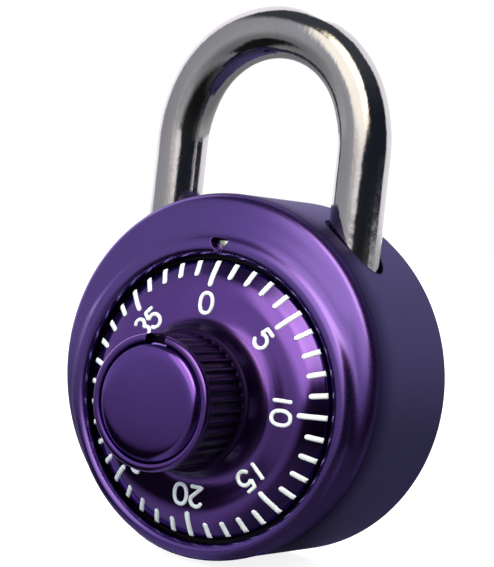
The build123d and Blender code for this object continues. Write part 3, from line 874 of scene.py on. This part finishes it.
t.links.new(a.outputs[0], mx.inputs[2])
t.links.new(mx.outputs[0], out.inputs["Surface"])
mesh.materials.append(m)

# ------------------------------------------------------------------ soft studio light

world = bpy.data.worlds.new("studio")
bpy.context.scene.world = world
world.use_nodes = True
t = world.node_tree
t.nodes.clear()
out = t.nodes.new("ShaderNodeOutputWorld")
tc = t.nodes.new("ShaderNodeTexCoord")
sx = t.nodes.new("ShaderNodeSeparateXYZ")
t.links.new(tc.outputs["Generated"], sx.inputs[0])
az = math_node(t, "MULTIPLY", math_node(t, "ARCTAN2", sx.outputs[0], math_node(t, "MULTIPLY", sx.outputs[1], -1.0)), 180 / math.pi)
el = math_node(t, "MULTIPLY", math_node(t, "ARCSINE", sx.outputs[2]), 180 / math.pi)


def plus(a, b):
    return math_node(t, "ADD", a, b)


# dark room, a little brighter overhead
sky = mix_colour(t, smooth_step(t, el, 20, 62), (0.016, 0.019, 0.030), (0.062, 0.068, 0.082))
# right behind: large white panel whose edge leans back with height
edge = plus(smooth_step(t, el, 0, 50, 131.0, 135.0), smooth_step(t, el, 50, 68, 0.0, 20.0))
sky = mix_colour(t, times(t, smooth_step(t, az, math_node(t, "SUBTRACT", edge, 5.0), plus(edge, 7.0)), smooth_step(t, el, 64, 76, 1.0, 0.0)), sky, (1.20, 1.14, 1.19))
# left behind: white panel with a brighter strip
rear = mix_colour(t, times(t, smooth_step(t, az, -176, -160), smooth_step(t, az, -152, -138, 1.0, 0.0)), (1.28, 1.22, 1.27), (1.95, 1.92, 1.95))
rear = mix_colour(t, smooth_step(t, az, -130, -92), rear, (1.40, 1.33, 1.42))
top = smooth_step(t, az, -132, -82, 73.0, 48.0)
rear_mask = times(t, smooth_step(t, az, -100, -84, 1.0, 0.0), smooth_step(t, el, math_node(t, "SUBTRACT", top, 5.0), plus(top, 5.0), 1.0, 0.0))
sky = mix_colour(t, rear_mask, sky, rear)
# left front: grey panel
grey = mix_colour(t, smooth_step(t, az, -72, -44), (0.41, 0.40, 0.44), (0.43, 0.43, 0.46))
grey = mix_colour(t, smooth_step(t, az, -42, -22), grey, (0.50, 0.49, 0.54))
sky = mix_colour(t, times(t, smooth_step(t, az, -102, -86), smooth_step(t, az, -16, -6, 1.0, 0.0), smooth_step(t, el, 38, 52, 1.0, 0.0)), sky, grey)
# key: large soft box in front, its right edge leaning
edge = smooth_step(t, el, -18, 32, 6.0, 46.0)
level = mix_colour(t, smooth_step(t, az, -10, 8), (0.54, 0.51, 0.52), (1.10, 1.03, 1.08))
level = mix_colour(t, smooth_step(t, el, -2, 13), level, (1.72, 1.60, 1.42))
sky = mix_colour(t, times(t, smooth_step(t, az, -25, -14), smooth_step(t, az, math_node(t, "SUBTRACT", edge, 6.0), plus(edge, 6.0), 1.0, 0.0), smooth_step(t, el, 45, 54, 1.0, 0.0)), sky, level)
# its hot centre, high on the right
def away(a0, e0):
    """Degrees from a direction."""
    d = t.nodes.new("ShaderNodeVectorMath")
    d.operation = "DOT_PRODUCT"
    t.links.new(tc.outputs["Generated"], d.inputs[0])
    ar, er = math.radians(a0), math.radians(e0)
    d.inputs[1].default_value = (math.sin(ar) * math.cos(er), -math.cos(ar) * math.cos(er), math.sin(er))
    return math_node(t, "MULTIPLY", math_node(t, "ARCCOSINE", math_node(t, "MINIMUM", d.outputs["Value"], 1.0)), 180 / math.pi)


def spot(a0, e0, inner, outer):
    return smooth_step(t, away(a0, e0), inner, outer, 1.0, 0.0)


# a bright bar leaning round from the right to overhead
bar = times(t, smooth_step(t, away(-30, -2), 53, 63), smooth_step(t, away(-30, -2), 72, 84, 1.0, 0.0), spot(30, 42, 12, 33))
sky = mix_colour(t, bar, sky, (4.5, 3.95, 2.9))
lp = t.nodes.new("ShaderNodeLightPath")
# dull surfaces also get the flash heads' direct light
sky = mix_colour(t, lp.outputs["Is Diffuse Ray"], sky, mix_colour(t, 1.0, sky, (2.3, 2.5, 2.75), "MULTIPLY"))
seen = mix_colour(t, lp.outputs["Is Camera Ray"], sky, (1.0, 1.0, 1.0))
bg = t.nodes.new("ShaderNodeBackground")
t.links.new(seen, bg.inputs["Color"])
t.links.new(bg.outputs[0], out.inputs["Surface"])

# ------------------------------------------------------------------ camera

cam_az, cam_el, cam_roll = math.radians(30.47), math.radians(2.148), math.radians(-6.249)
aim = Vector((-5.358, 14.757, 213.444))
focal_px = 1667.4
centre = Vector((0, -21.10, -2.6))
back = Vector((math.sin(cam_az) * math.cos(cam_el), -math.cos(cam_az) * math.cos(cam_el), math.sin(cam_el)))
forward = -back
right = forward.cross(Vector((0, 0, 1))).normalized()
down = forward.cross(right)
r = right * math.cos(cam_roll) + down * math.sin(cam_roll)
d = down * math.cos(cam_roll) - right * math.sin(cam_roll)
place = -(r * aim.x + d * aim.y + forward * aim.z) + centre
cam = bpy.data.objects.new("camera", bpy.data.cameras.new("camera"))
bpy.context.scene.collection.objects.link(cam)
rot = Matrix((r, -d, -forward)).transposed()
cam.matrix_world = Matrix.Translation(place * mm) @ rot.to_4x4()
cam.data.sensor_fit = "HORIZONTAL"
cam.data.sensor_width = 36.0
cam.data.lens = focal_px / 494.0 * 36.0
cam.data.clip_start, cam.data.clip_end = 0.01, 50.0
bpy.context.scene.camera = cam

scene = bpy.context.scene
scene.view_settings.view_transform = "Standard"
scene.view_settings.look = "None"
